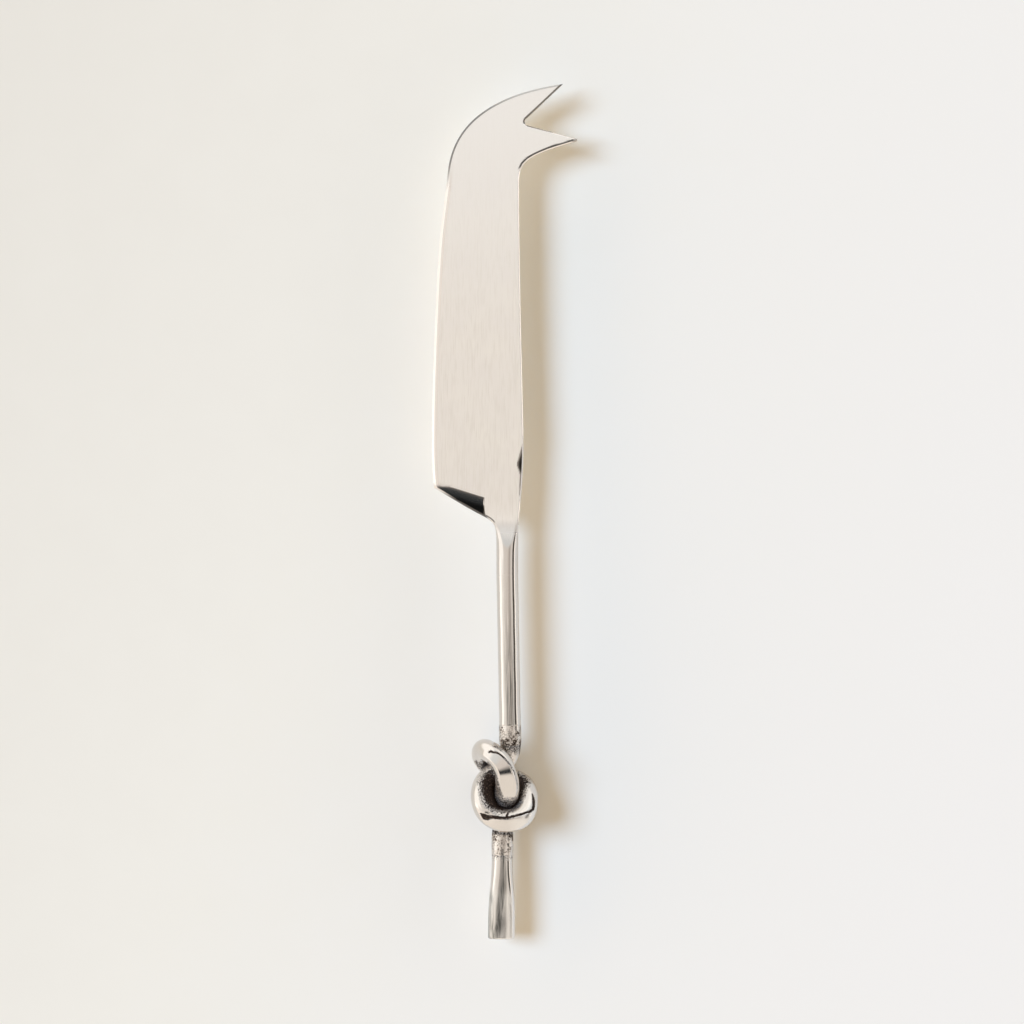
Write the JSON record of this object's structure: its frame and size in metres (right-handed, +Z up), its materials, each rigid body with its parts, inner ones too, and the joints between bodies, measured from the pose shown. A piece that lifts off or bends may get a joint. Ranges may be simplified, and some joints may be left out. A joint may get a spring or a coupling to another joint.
{
  "type": "cheese knife",
  "caption": "Long flat cheese knife with a forked tip for serving, a bevelled cutting edge, and a round metal handle tied in an overhand knot above a hammered end.",
  "frame": {"origin": "middle of the knife's outline in plan, at the height of the knot's lowest point, where the knife touches the table", "axes": "+Y along the knife towards the forked tip, +X towards the prongs and the spine with the cutting edge on the other side, +Z up out of the face in the picture"},
  "size_m": [0.0406, 0.2397, 0.0207],
  "materials": {
    "blade_steel": "satin, brushed along the blade",
    "handle_steel": "hand polished, slightly uneven",
    "weld_steel": "rough, pitted and darkened"
  },
  "bodies": {
    "root": {"blade": "blade_steel", "shaft": "handle_steel", "upper_weld": "weld_steel", "knot": "handle_steel", "lower_weld": "weld_steel", "tail": "handle_steel"}
  },
  "joints": []
}
